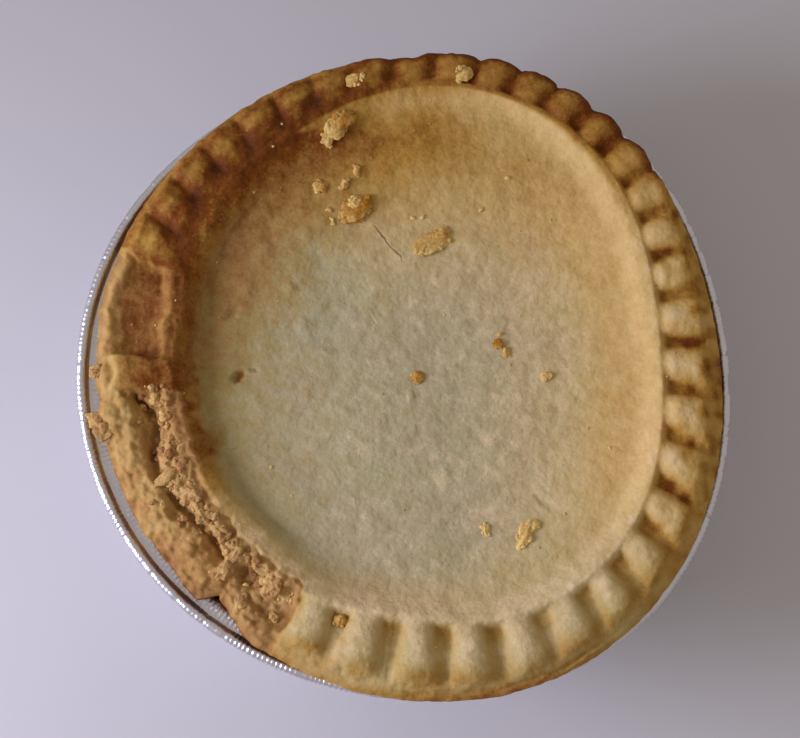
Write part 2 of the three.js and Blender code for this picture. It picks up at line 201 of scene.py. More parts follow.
def distance_to_path(x, y, path):
    """How far a point is from a line of points, and how far along the line it is, from 0 to 1"""
    best, where = 1e9, 0.0
    for index in range(len(path) - 1):
        (ax, ay), (bx, by) = path[index], path[index + 1]
        dx, dy = bx - ax, by - ay
        share = min(max(((x - ax) * dx + (y - ay) * dy) / (dx * dx + dy * dy), 0), 1)
        gap = math.hypot(x - ax - share * dx, y - ay - share * dy)
        if gap < best:
            best, where = gap, (index + share) / (len(path) - 1)
    return best, where


def polar(bearing, radius):
    angle = math.radians(bearing)
    return radius * math.cos(angle), radius * math.sin(angle)


RIM_CRACK_PATHS = [[polar(*point) for point in path] for path in RIM_CRACKS]


# ---------- shape of the crust ----------

def crimp_count(bearing):
    """Crimps passed at a bearing; a whole number is the middle of a ridge"""
    crimps = bpy.context.scene.pie_sizes.crimps
    count = CRIMP_START + crimps * bearing / 360
    return count + sum(s * math.cos(math.radians(n * (bearing - p))) for n, s, p in CRIMP_SPACING)


def chance(index, seed):
    """A repeatable number from -1 to 1 for each crimp"""
    return noise.noise(Vector((index * 1.37 + 0.5, seed * 3.1 + 0.25, 0.7))) * 1.8


def ridge_at(bearing, along=0.5):
    """The crimp at a bearing: how high its dome is there, from 0 on the groove's floor to 1, its
    own number, and the place across it, from -0.5 to 0.5. On the far left the crimps lean over
    like shingles."""
    count = crimp_count(bearing + CRIMP_LEAN * (along - 0.5))
    index = round(count)
    across = count - index - 0.02 * chance(index, 5)
    near = within(bearing, *NEAR_CRIMPS)
    half = mix(0.4, 0.46, smooth(along, 0.2, 0.8)) - 0.05 * near + 0.02 * chance(index, 1)
    half *= 1 - 0.24 * (1 - smooth(along, -0.02, 0.24)) ** 2
    share = min(abs(across) / half, 1.0)
    dome = (1 - share ** 2.3) ** 0.72
    shingled = 0.8 * within(bearing, 106, 158, 10)
    if across < 0 and shingled > 0:
        gentle = (1 - 0.6 * share ** 1.5) * smooth(0.5 - abs(across), 0.0, 0.09)
        dome = mix(dome, gentle, shingled)
    return dome, index, across


def standing_share(bearing, radius):
    """1 on the one crimp that still stands in the break"""
    ragged = 0.5 * grain(radius, bearing * 0.2, 0, 1.8, 3.1)
    start = STANDING_CRIMP[0] + ragged + 0.9 * smooth(radius, 46, 41)
    end = STANDING_CRIMP[1] + ragged + 0.25 * (45.5 - radius)
    outer_end = 49.0 + 0.6 * math.sin(math.radians(bearing * 45 - 30)) + ragged
    across = within(bearing, start, end, 0.5)
    return across * (1 - smooth(radius, outer_end - 0.8, outer_end + 0.6))


def broken_share(bearing, radius):
    """1 where the top of the rim has broken away, 0 where it is whole"""
    ragged = 0.9 * grain(radius, bearing * 0.2, 0, 2.4, 3.1)
    start = BREAK_START + 0.1 * (48 - radius) + ragged
    end = BREAK_END + 0.08 * (48 - radius) + 0.8 * ragged
    return within(bearing, start, end, 0.35)


def notch(bearing):
    if bearing < NOTCH_DEEPEST:
        return NOTCH_DEPTH * smooth(bearing, NOTCH_START, NOTCH_DEEPEST)
    return NOTCH_DEPTH * (1 - smooth(bearing, NOTCH_DEEPEST - 4, NOTCH_END))


def rings_at(bearing):
    """The rings' radii at a bearing"""
    return ragged_rings(round(bearing, 3))


@functools.lru_cache(maxsize=20000)
def ragged_rings(bearing):
    """Where the rim broke, the crest and the lip are ragged"""
    worn = within(bearing, BREAK_START, BREAK_END, 3)
    x, y = polar(bearing, 50)
    foot = ring(SLOPE_FOOT_RING, bearing)
    flat = NEAR_FLAT[3] * within(bearing, *NEAR_FLAT[:3])
    crest = ring(CREST_RING, bearing) - flat
    band = crest - mix(BAND_WIDTH, LEFT_BAND_WIDTH, within(bearing, 100, 236, 24))
    band = max(band, foot + BAND_CLEAR)
    crest += worn * (0.9 * grain(x, y, 0, 4.2, 41.0) + 0.5 * grain(x, y, 0, 1.5, 42.0))
    inner = max(ring(CRIMP_INNER_RING, bearing) - flat, crest + 0.9)
    weight = ridge_at(bearing, 1)[0]
    scallop = SCALLOP_DEPTH * (2 * weight - 1) * within(bearing, SCALLOP_START, SCALLOP_END, 5)
    lip = ring(LIP_RING, bearing) + scallop - notch(bearing)
    lip += (0.12 + 0.33 * worn) * grain(x, y, 0, 3.0, 5.0) + 0.16 * grain(x, y, 0, 1.1, 6.0)
    lip -= 0.12 * within(bearing, 66, 114, 12) + 0.7 * within(bearing, 86.5, 93.5, 1.1)
    lip += 1.0 * within(bearing, 189.3, 193.8, 1.0) + 0.6 * within(bearing, 181.0, 182.2, 0.7)
    outer = ring(CRIMP_OUTER_RING, bearing) + 0.6 * scallop
    outer = mix(outer, max(outer, lip - 0.9), within(bearing, 28, 150, 12))
    outer += 0.7 * (1 - smooth(from_right(bearing), 20, 60))
    return Rings(foot, band, crest, inner, outer, lip, ring(BEAD_RING, bearing))


def lid_height(x, y):
    """The sunk lid rises towards the far side, and a little towards the near side"""
    far, far_from, far_to = LID_FAR_RISE
    near, near_from, near_to = LID_NEAR_RISE
    low = CRIMP_FOOT_HEIGHT - bpy.context.scene.pie_sizes.lid_depth / MM
    return low + far * smooth(y, far_from, far_to) + near * smooth(-y, near_from, near_to)


def spread_from(dx, dy, length, width, turn):
    """How far a point lies from the middle of a ragged oval: 1 on its edge"""
    if abs(dx) > 4 or abs(dy) > 4:
        return 9.0
    cos, sin = math.cos(math.radians(turn)), math.sin(math.radians(turn))
    along, across = (dx * cos + dy * sin) / length * 2, (dy * cos - dx * sin) / width * 2
    return math.hypot(along, across) + 0.18 * grain(dx, dy, 0, 0.6, 9.0)


def lid_relief(x, y):
    """The baked lid's low waves, its pocks, its pits and its one crack"""
    bumpy = 0.5 + 0.5 * smooth(y - 0.6 * x, -30, 30)
    relief = 0.3 * grain(x, y, 0, 12, 1.0) + 0.2 * bumpy * grain(x, y, 0, 3.8, 2.0)
    pocked = 0.35 + 0.65 * smooth(grain(x, y, 0, 16, 7.0), -0.15, 0.35)
    pock = noise.voronoi(Vector((x / 2.6, y / 2.6, 4.0)))
    size = 0.2 + 0.22 * noise.cell(pock[1][0] * 7.0)
    relief -= 0.17 * pocked * (1 - smooth(pock[0][0], 0.0, max(size, 0.05)))
    for px, py, length, width, turn, depth in LID_PITS:
        far = spread_from(x - px, y - py, length, width, turn)
        relief += 0.12 * within(far, 1.1, 1.6, 0.3) - depth * (1 - smooth(far, 0.3, 1.25))
    for px, py, length, width, turn, height in LID_BUMPS:
        relief += height * (1 - smooth(spread_from(x - px, y - py, length, width, turn), 0.4, 1.2))
    gap, along = distance_to_path(x, y, LID_CRACK)
    if gap < 1.2:
        relief += 0.12 * math.sin(math.pi * min(max(along, 0.0), 1.0)) * (1 - smooth(gap, 0.1, 1.2))
    return relief


def chart_height(bearing, share):
    """The broken rim's height from its chart"""
    row = 0
    while row < len(BREAK_CHART) - 2 and BREAK_CHART[row + 1][0] < bearing:
        row += 1
    (first, low), (second, high) = BREAK_CHART[row], BREAK_CHART[row + 1]
    across = smooth(bearing, first, second)
    column = 0
    while column < len(BREAK_SHARES) - 2 and BREAK_SHARES[column + 1] < share:
        column += 1
    along = smooth(share, BREAK_SHARES[column], BREAK_SHARES[column + 1])
    left = mix(low[column], low[column + 1], along)
    right = mix(high[column], high[column + 1], along)
    return mix(left, right, across)


def inner_side(radius, rings, foot_height):
    """Height of the slope up from the lid, of the steep band under the crest and of the shelf
    from there to the crimps' foot"""
    band_height = max(BAND_FOOT_HEIGHT, foot_height + BAND_FOOT_RISE)
    if radius <= rings.band:
        share = max((radius - rings.foot) / (rings.band - rings.foot), 0.0)
        return mix(foot_height, band_height, 0.3 * share + 0.7 * share ** 2.2)
    if radius <= rings.crest:
        return mix(band_height, CREST_HEIGHT, (radius - rings.band) / (rings.crest - rings.band))
    share = min((radius - rings.crest) / (rings.inner - rings.crest), 1.0)
    return mix(CREST_HEIGHT, CRIMP_FOOT_HEIGHT, share)


def softened_side(radius, rings, foot_height):
    """The inner side with its corners rounded"""
    reach = (-1.0, -0.6, -0.2, 0.2, 0.6, 1.0)
    return sum(inner_side(radius + step, rings, foot_height) for step in reach) / len(reach)


def whole_rim(bearing, radius, rings):
    """Height of the crimped rim, how deep in a groove the point is, and how much it lies on the
    proud middle of a ridge"""
    sizes = bpy.context.scene.pie_sizes
    along = (radius - rings.inner) / (rings.outer - rings.inner)
    x, y = polar(bearing, radius)
    dome, index, across = ridge_at(bearing, min(along, 1.15))
    shoulder = min(max((radius - rings.outer) / max(rings.lip - rings.outer, 0.5), 0.0), 1.0)
    worn = within(bearing, *WORN_CRIMPS)
    shelf = mix(SHELF_HEIGHT, LIP_TOP, shoulder ** 1.7)
    uneven = 0.3 + 0.4 * worn
    tall = sizes.ridge_height / MM * (1 + uneven * min(chance(index, 3), 0.5)) * (1 - 0.2 * worn)
    rise = smooth(along, 0.0, 0.34) * (1 - 0.45 * smooth(along, 0.7, 1.0))
    start = min(softened_side(radius, rings, 0), CRIMP_FOOT_HEIGHT - 0.15)
    ridge = mix(start + tall * rise, shelf, smooth(along, 0.86, 1.12))
    side = index + (0.3 if across > 0 else -0.3)
    near = within(bearing, *NEAR_CRIMPS)
    deep = sizes.groove_depth / MM * (1 + 0.2 * chance(side, 4)) * (1 - 0.3 * worn)
    deep *= 0.54 + 0.2 * near
    floor = CRIMP_FOOT_HEIGHT - deep * mix(1.0, 0.8, smooth(along, 0.1, 0.6))
    floor = min(mix(floor, shelf, smooth(along, 0.84, 1.1)), ridge)
    groove = (1 - dome) * smooth(along, -0.02, 0.18 + 0.3 * worn)
    height = mix(ridge, floor, groove)
    flap = within(bearing, 268, 306, 7)
    if flap > 0:
        gap = rings.lip - radius + 0.4 * grain(x, y, 0, 3.5, 44.0)
        height += flap * (0.4 * within(gap, 0.1, 0.9, 0.2) - 0.45 * within(gap, 1.1, 1.5, 0.25))
    ragged = smooth(along, 0.7, 0.95) * (1 - smooth(shoulder, 0.3, 0.8))
    height += ragged * (0.25 * grain(x, y, 0, 1.3, 13.0) + 0.12 * grain(x, y, 0, 0.6, 14.0))
    proud = dome * dome * smooth(along, 0.0, 0.2) * (1 - smooth(along, 0.62, 0.95))
    return height, groove * (1 - smooth(along, 0.9, 1.2)), proud


def broken_rim(bearing, radius, rings):
    """Height of the broken rim, and how crumbly its surface is there"""
    share = (radius - rings.crest) / (rings.lip - rings.crest)
    x, y = polar(bearing, radius)
    wobble = 0.06 * grain(x, y, 0, 2.2, 15.0)
    height = chart_height(bearing + 1.6 * grain(x, y, 0, 2.6, 16.0), share + wobble)
    inner_part = 1 - smooth(share, 0.4, 0.58)
    crumbly = within(bearing, 199, 229, 2.5) * inner_part * smooth(share, 0.02, 0.14)
    crumbly = max(crumbly, within(bearing, 227, 246, 2) * (0.55 + 0.45 * inner_part))
    crumbly = max(crumbly, 0.7 * within(bearing, 188, 203, 3) * within(share, 0.22, 0.52, 0.1))
    crumbly = max(crumbly, 0.45 * within(bearing, 186, 246, 3))
    crumbly = max(crumbly, within(bearing, 158, 190, 4) * mix(0.1, 0.5, smooth(share, 0.7, 0.85)))
    torn = within(bearing, 184, 246, 3)
    height += (0.2 + 0.35 * torn) * grain(x, y, 0, 2.4, 17.0)
    height += (0.1 + 0.2 * torn) * grain(x, y, 0, 1.1, 19.0)
    crag = 1.2 * crag_height(x, y, 2.7, 1.0) + 0.8 * crag_height(x, y, 1.4, 2.0)
    height += crumbly * torn * (crag - 0.8)
    for path in RIM_CRACK_PATHS:
        gap, along = distance_to_path(x, y, path)
        if gap < 2.4:
            wide = max(0.2 + 0.35 * math.sin(math.pi * along) + 0.35 * grain(x, y, 0, 1.0, 18.0), 0.05)
            height -= 1.5 * (1 - smooth(gap, 0.5 * wide, 0.45 + wide))
    return height, crumbly


def standing_rim(bearing, radius):
    """Height of the crimp that still stands in the break: a block with a rounded, torn top"""
    start, end = STANDING_CRIMP
    across = min(max((bearing - start) / (end - start), 0.0), 1.0)
    x, y = polar(bearing, radius)
    height = 36.3 + 0.5 * math.sin(math.pi * across) ** 0.5
    height -= 0.3 * smooth(radius, 46.0, 50.5) + 0.4 * (1 - smooth(radius, 40.5, 43.5))
    return height + 0.2 * grain(x, y, 0, 1.8, 24.0)


Surface = namedtuple("Surface", "height groove proud lost crumbly standing")


def top_surface(bearing, radius):
    """The pie's upper face at a place: its height over the base in mm, how deep in a groove and
    how proud on a ridge it is, how broken, how crumbly, and whether the lone crimp stands there"""
    bearing %= 360
    rings = rings_at(bearing)
    x, y = polar(bearing, radius)
    if radius <= rings.foot:
        return Surface(lid_height(x, y) + lid_relief(x, y), 0.0, 0.0, 0.0, 0.0, 0.0)
    foot = lid_height(*polar(bearing, rings.foot))
    share = smooth(radius, rings.foot, rings.crest)
    waves = lid_relief(x, y) * (1 - share) + 0.14 * share * grain(x, y, 0, 3.0, 21.0)
    if radius <= rings.crest - 1.0:
        return Surface(softened_side(radius, rings, foot) + waves, 0.0, 0.0, 0.0, 0.0, 0.0)
    fine = 0.05 * grain(x, y, 0, 0.8, 20.0) + waves
    if radius < rings.inner:
        height, groove, proud = softened_side(radius, rings, foot), 0.0, 0.0
    else:
        height, groove, proud = whole_rim(bearing, radius, rings)
    rough = 0.12 + 0.2 * within(bearing, *WORN_CRIMPS)
    fine += rough * grain(x, y, 0, 2.3, 22.0) + 0.5 * rough * grain(x, y, 0, 1.0, 23.0)
    lost = broken_share(bearing, radius)
    if lost == 0:
        return Surface(height + fine, groove, proud, 0.0, 0.0, 0.0)
    gone, crumbly = broken_rim(bearing, radius, rings)
    edge = smooth(radius, rings.crest - 1.0, rings.crest + 0.5)
    gone = mix(softened_side(radius, rings, foot), gone, edge)
    standing = standing_share(bearing, radius)
    gone = mix(gone, standing_rim(bearing, radius), standing * edge)
    height = mix(height, gone, lost)
    lost *= 1 - standing
    return Surface(height + fine, groove * (1 - lost), proud, lost, crumbly * lost, standing)


def lip_underside(rings):
    over_bead = rings.lip - (rings.bead - BEAD_WIDTH)
    return mix(FLANGE_HEIGHT + 0.25 + GAP, BEAD_TOP + GAP, smooth(over_bead, -1.6, -0.5))


# ---------- browning, with painted shade and painted highlights ---

def browning_and_painted_light_at(bearing, radius, rings, surface, relief):
    """How brown the crust baked at a place, from 0, pale dough, to 1, dark brown; painted shade and
    painted highlights are mixed in
    """
    x, y = polar(bearing, radius)
    far = smooth(y, 6, 46)
    far_left = within(bearing, 96, 166, 14)
    left = within(bearing, 152, 216, 15)
    # The lid is browner towards the left rim: partly baked colour, partly painted shade from the left
    # rim.
    lid = 0.17 + 0.32 * far * far + 0.14 * smooth(-x, 6, 36) + 0.1 * smooth(x, 30, 42)
    lid -= 0.04 * within(x, 14, 30, 8)
    # The first term darkens the lid's pits and pocks: partly browning, partly painted shade in the
    # hollows.
    lid += 0.2 * smooth(-relief, 0.35, 0.9) + 0.26 * smooth(y - 1.2 * x, 16, 64)
    inner = radius <= rings.crest
    # The slope up to the rim is browner on the left and upper left, with a streaky edge: partly baked
    # colour, partly painted shade where the rim shades the slope.
    streak = 2.5 * grain(x, y, 0, 5, 45.0) + 1.2 * grain(x, y, 0, 1.6, 46.0)
    upper_left = within(bearing, 104, 152, 15)
    from_foot = rings.foot + 2 - 3.5 * left + 2.5 * upper_left
    to_crest = max(rings.crest - 0.5 - 1.5 * left, from_foot + 1.5)
    share = smooth(radius + streak, from_foot, to_crest)
    slope = 0.18 + 0.5 * left + 0.34 * upper_left + 0.1 * within(bearing, 72, 104, 15)
    slope += 0.1 * smooth(x, 10, 36)
    lid = mix(lid, slope, share)
    far_rim = within(bearing, 38, 166, 18)
    far_crest = within(bearing, 74, 166, 14)
    to_band = smooth(radius, rings.crest - 2.6, rings.crest + 0.4)
    lid += 0.2 * far_crest * (1 - 0.7 * max(left, upper_left)) * to_band
    # The band under the crest is painted paler, more on the near side: partly pale crust, partly
    # painted light.
    band = within(radius, rings.crest - 2.4, rings.crest + 1, 0.6)
    lid -= (0.07 + 0.05 * smooth(-y, 0, 30)) * (1 - far_crest) * (1 - left) * band
    if inner and surface.standing == 0:
        return lid
    near = within(bearing, 246, 318, 14)
    right = 1 - smooth(from_right(bearing), 24, 52)
    along = (radius - rings.inner) / (rings.outer - rings.inner)
    outside = smooth(along, 0.8, 1.05)
    lip = smooth(radius, rings.lip - 1.5, rings.lip - 0.2)
    blotch = grain(x, y, 0, 4.2, 47.0)
    spots = smooth(grain(x, y, 0, 2.2, 49.0), -0.2, 0.6)
    rim = 0.46 + 0.3 * far_rim + 0.15 * far_left - 0.11 * near
    rim += 0.24 * right * spots * smooth(along, 0.1, 0.5)
    # Ridge tops are painted paler: partly paler crust, partly a painted highlight.
    rim -= (0.36 - 0.18 * far_rim + 0.04 * far_left - 0.12 * near) * surface.proud
    inner_end = 1 - smooth(along, -0.05, 0.2)
    rim -= (0.34 - 0.06 * near) * inner_end * (1 - 0.6 * far_rim) * (1 - 0.8 * left)
    # A darker line between the band and the ridges on the right: painted shade in the crease.
    rim += 0.14 * right * within(along, -0.04, 0.08, 0.06)
    # The (1 - 3 * far_left) factor here and the next line paint the outer ends of the far-left crimps
    # lighter: a painted highlight.
    rim += (0.12 - 0.14 * near - 0.17 * right) * outside * (1 - 3 * far_left)
    rim -= 0.16 * far_left * within(along, 0.5, 1.0, 0.15)
    rim += (0.06 + 0.1 * spots) * near * lip
    rim += 0.16 * within(bearing, 266, 302, 6) * smooth(radius, rings.lip - 2.0, rings.lip - 0.8)
    rim += 0.16 * near * within(along, 0.7, 1.0, 0.25) * smooth(blotch, -0.8, 0.4)
    # Grooves are painted browner, most at their inner ends and along their length on the right: partly
    # browning, partly painted shade in the grooves. On the near side their floors go paler.
    sunk = smooth(surface.groove, 0.1 + 0.25 * right + 0.35 * near, 0.95)
    rim += (0.06 + 0.05 * near) * sunk * (1 - smooth(along, 0.1, 0.42))
    rim += 0.12 * right * sunk * (1 - smooth(along, 0.8, 1.05))
    rim -= 0.1 * near * sunk * within(along, 0.45, 0.95, 0.15)
    rim += 0.08 * blotch
    if surface.lost == 0 and surface.standing == 0:
        return mix(lid, rim, smooth(radius, rings.crest, rings.inner - 0.3))
    trench = within(bearing, BREAK_START, 179, 2) * within(radius, 43.4, 50.6, 1.6)
    gone = 0.49 + 0.1 * trench
    gone += 0.14 * (1 - smooth(radius, 39, 44)) - 0.06 * smooth(radius, 50.5, 52.5)
    gone -= 0.08 * within(bearing, 188, 222, 4) * smooth(radius, 45, 48)
    gone += 0.08 * within(bearing, 150, 188, 4) * (1 - smooth(radius, 43, 45))
    gone += 0.07 * within(bearing, 216, 246, 4)
    # Browner where the broken rim lies low: partly baked colour, partly painted shade in its crevices.
    gone += 0.22 * smooth(34.4 - surface.height, 0.0, 2.0) + 0.12 * grain(x, y, 0, 3.0, 48.0)
    gone += 0.05 * within(bearing, 194, 228, 5) * smooth(radius, 46, 49)
    lone = 0.62 + 0.08 * (1 - smooth(radius, 43, 46.5)) - 0.2 * smooth(radius, 46.4, 48.8)
    return mix(rim, mix(gone, lone, surface.standing), max(surface.lost, surface.standing))


def warmth_at(bearing, radius, rings):
    """How golden the pale crust is at a place: 0 is floury grey-beige, 1 is buttery"""
    x, y = polar(bearing, radius)
    warm = 0.08 + 0.75 * smooth(x, 6, 44) + 0.8 * smooth(y, 2, 40)
    warm -= 0.55 * smooth(-x, 2, 22) * smooth(y, 0, 16)
    near = within(bearing, 240, 322, 16)
    rim = smooth(radius, rings.foot, rings.crest - 1)
    torn = within(bearing, BREAK_START, BREAK_END, 3) * smooth(radius, rings.crest - 1, rings.crest + 1)
    return min(mix(warm, 0.9 - 0.4 * near - 0.5 * torn, rim), 1.0)


# ---------- bodies ----------

def moulded(name, stations, place):
    """A closed round body. A grid is rolled up: one side runs round the axis by stations, the
    other from the middle of the top, over the rim, to the middle of the base by levels. place
    gives a station's vertices: for each its position in mm and its attribute values."""
    columns = [place(station) for station in range(stations)]
    levels = len(columns[0])
    mesh_builder = bmesh.new()
    bmesh.ops.create_grid(mesh_builder, x_segments=stations, y_segments=levels - 1, size=0.5)
    layers = {key: mesh_builder.verts.layers.float.new(key) for key in columns[0][0][1]}
    for vertex in mesh_builder.verts:
        station = round((vertex.co.x + 0.5) * stations) % stations
        level = round((0.5 - vertex.co.y) * (levels - 1))
        point, values = columns[station][level]
        for key, layer in layers.items():
            vertex[layer] = values[key]
        vertex.co = Vector(point) * MM
    seam = [v for v in mesh_builder.verts if v.is_boundary]
    bmesh.ops.remove_doubles(mesh_builder, verts=seam, dist=1e-7)
    bmesh.ops.recalc_face_normals(mesh_builder, faces=mesh_builder.faces)
    return finished(name, mesh_builder)


def finished(name, mesh_builder):
    """Turns a bmesh into a smooth-shaded object at the origin"""
    for face in mesh_builder.faces:
        face.smooth = True
    mesh = bpy.data.meshes.new(name)
    mesh_builder.to_mesh(mesh)
    mesh_builder.free()
    piece = bpy.data.objects.new(name, mesh)
    bpy.context.scene.collection.objects.link(piece)
    return piece


def dress(piece, material, slot, *nodes):
    piece.data.materials.clear()
    piece.data.materials.append(material)
    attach(piece, "root")
    if nodes:
        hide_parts(*nodes)


# The stations crowd together over the broken rim, where the relief is finest.
CRUST_STATIONS = 760
CROWDING = 17
CROWDED_AT = 202
LID_LEVELS = 50
SLOPE_LEVELS = 13
RIM_LEVELS = 47
LIP_EDGE = ((0.0, 0.28), (0.1, 0.0), (0.1, -0.35), (-0.1, -0.75))


def crust_column(station):
    """Points and attribute values from the middle of the lid to the middle of the base"""
    turn = 360 * station / CRUST_STATIONS
    bearing = (turn - CROWDING * math.sin(math.radians(turn - CROWDED_AT))) % 360
    rings = rings_at(bearing)
    radii = [rings.foot * level / LID_LEVELS for level in range(LID_LEVELS)]
    radii += [mix(rings.foot, rings.crest, level / SLOPE_LEVELS) for level in range(SLOPE_LEVELS)]
    rim = [level / (RIM_LEVELS - 1) for level in range(RIM_LEVELS)]
    radii += [mix(rings.crest, rings.lip - 0.25, share) for share in rim]
    column = []
    for radius in radii:
        x, y = polar(bearing, radius)
        surface = top_surface(bearing, radius)
        relief = surface.height - lid_height(x, y) if radius < rings.foot else 0.0
        column.append(((x, y, surface.height), {
            "browning": browning_and_painted_light_at(bearing, radius, rings, surface, relief),
            "crumb": surface.crumbly,
            "warmth": warmth_at(bearing, radius, rings),
        }))
    edge = column[-1][0][2]
    under = lip_underside(rings)
    brown = column[-1][1]["browning"]
    rest = []
    for out, down in LIP_EDGE:
        rest.append((rings.lip - 0.1 + out, max(edge + down - 0.35, under + 0.1)))
    wall = min(rings.bead - BEAD_WIDTH - FLANGE_WIDTH - 0.5 - GAP, rings.lip - 1.2)
    rest += [(rings.lip - 0.5, under), (wall, under), (wall - 0.6, 27.0)]
    rest += [(TIN_FLOOR_RADIUS - 0.5 - GAP, PIE_BASE + 1.4), (TIN_FLOOR_RADIUS - 1.9, PIE_BASE)]
    rest += [(20, PIE_BASE), (0, PIE_BASE)]
    for radius, height in rest:
        x, y = polar(bearing, radius)
        column.append(((x, y, height), {"browning": brown, "crumb": 0.0, "warmth": 0.7}))
    return column


def build_crust():
    crust = moulded("crust", CRUST_STATIONS, crust_column)
    dress(crust, pastry_material(), "pastry", "pie")


# ---------- foil ----------

FOIL_STATIONS = 1920
PLEAT_DEPTH = 0.42


def foil_column(station):
    """Points of the foil's section from the middle of its floor inside, over the bead, and back"""
    sizes = bpy.context.scene.pie_sizes
    bearing = 360 * station / FOIL_STATIONS
    bead = ring(BEAD_RING, bearing)
    sheet = sizes.foil_thickness / MM
    x, y = polar(bearing, 55)
    phase = math.radians(sizes.pleats * bearing) + 1.2 * grain(x, y, 0, 9, 36.0)
    swing = 0.5 + 0.5 * math.cos(phase)
    fine = 0.5 + 0.5 * math.cos(math.radians(sizes.ribs * bearing))
    uneven = 1 + 0.5 * grain(x, y, 0, 5, 31.0)
    pleat = PLEAT_DEPTH * swing * uneven
    tick = math.cos(math.radians(sizes.ribs * bearing) + 3.5 * grain(x, y, 0, 2.6, 34.0)) - 1
    smoother = 1 - 0.7 * within(bearing, 130, 190, 12)
    rib = 0.065 * smoother * tick * (0.15 + 1.2 * smooth(grain(x, y, 0, 4.5, 32.0), -0.4, 0.5))
    crumpled = 0.1 + 0.25 * (1 - within(bearing, 60, 312, 20))
    rib -= crumpled * smooth(grain(x, y, 0, 1.1, 35.0), 0.0, 0.6)
    dent = 0.12 * grain(x, y, 0, 7, 33.0)
    inner = bead - BEAD_WIDTH
    top = inner - FLANGE_WIDTH
    corner = TIN_FLOOR_RADIUS
    inside = [(radius, TIN_FLOOR_TOP) for radius in (0, 20, 34, 38, corner - 1.4)]
    inside.append((corner - 0.4, TIN_FLOOR_TOP + 0.15))
    for share in (0.0, 0.04, 0.12, 0.3, 0.5, 0.7, 0.86, 0.95, 1.0):
        fold = pleat * smooth(share, 0.0, 0.06) + 0.12 * fine * smooth(share, 0.5, 1.0)
        inside.append((mix(corner, top, share) + fold, mix(WALL_FOOT, WALL_TOP, share)))
    inside.append((top + 0.25 + pleat, FLANGE_HEIGHT - 0.35))
    inside.append((top + 0.9 + 0.5 * pleat, FLANGE_HEIGHT + 0.24 * (fine - 0.5)))
    for share in (0.35, 0.65, 0.88):
        ribbed = 0.24 * (fine - 0.5) * (1 - share)
        inside.append((mix(top + 0.9, inner, share), FLANGE_HEIGHT + ribbed))
    inside.append((inner, FLANGE_HEIGHT + 0.02))
    middle, radius = inner + BEAD_WIDTH / 2, BEAD_WIDTH / 2
    height = (BEAD_TOP - BEAD_BOTTOM) / 2
    bead_points = []
    for step in range(11):
        angle = math.radians(178 - 26 * step)
        out = middle + (radius + rib) * math.cos(angle) + dent * 0.4
        up = BEAD_BOTTOM + height + (height + rib) * math.sin(angle)
        bead_points.append((out, up))
    # The steep wall needs less drop than the floor and the flange for the same thickness.
    outside = [
        (r + sheet * 0.9, z - sheet * (0.4 if WALL_FOOT + 0.1 < z < FLANGE_HEIGHT - 0.3 else 1.0))
        for r, z in reversed(inside[1:-1])]
    profile = inside + bead_points + outside + [(0, TIN_FLOOR_TOP - sheet)]
    column = []
    for radius_here, z in profile:
        px, py = polar(bearing, min(radius_here, bead))
        column.append(((px, py, max(z, 0.0)), {}))
    return column


def build_foil():
    foil = moulded("pressed_foil", FOIL_STATIONS, foil_column)
    dress(foil, foil_material(), "foil", "foil_tin")


# ---------- flakes and crumbs ----------

def lump(gathered, centre, size, turn, seed, rounds, rough, tone):
    """Adds one broken flake or crumb of (length, width, height) in mm to a gathered bmesh. It is
    a ball cut by a few planes and roughened; tone is how deep it is baked, from 0 to 1."""
    draw = random.Random(seed)
    cuts = []
    for _ in range(9):
        out = Vector((draw.gauss(0, 1), draw.gauss(0, 1), draw.gauss(0, 0.8))).normalized()
        cuts.append((out, draw.uniform(0.72, 0.97)))
    place = Matrix.Translation(Vector(centre) * MM) @ Matrix.Rotation(math.radians(turn), 4, "Z")
    mesh_builder = bmesh.new()
    bmesh.ops.create_icosphere(mesh_builder, subdivisions=rounds, radius=1)
    layer = mesh_builder.verts.layers.float.new("tone")
    for vertex in mesh_builder.verts:
        vertex[layer] = tone
        out = vertex.co.normalized()
        reach = min([1.0] + [far / out.dot(way) for way, far in cuts if out.dot(way) > 0.3])
        x, y, z = out * reach
        reach *= 1 + rough * (0.7 * grain(x, y, z, 0.8, seed) + 0.3 * grain(x, y, z, 0.35, seed + 4))
        x, y, z = out * reach
        vertex.co = place @ (Vector((x * size[0], y * size[1], z * size[2])) * (0.5 * MM))
        vertex.co.z = min(vertex.co.z, TALLEST * MM)
    loose = bpy.data.meshes.new("lump")
    mesh_builder.to_mesh(loose)
    mesh_builder.free()
    gathered.from_mesh(loose)
    bpy.data.meshes.remove(loose)


def on_top(x, y, lift):
    """A place that much over the pie's upper face"""
    bearing, radius = math.degrees(math.atan2(y, x)), math.hypot(x, y)
    return (x, y, top_surface(bearing, radius).height + lift)


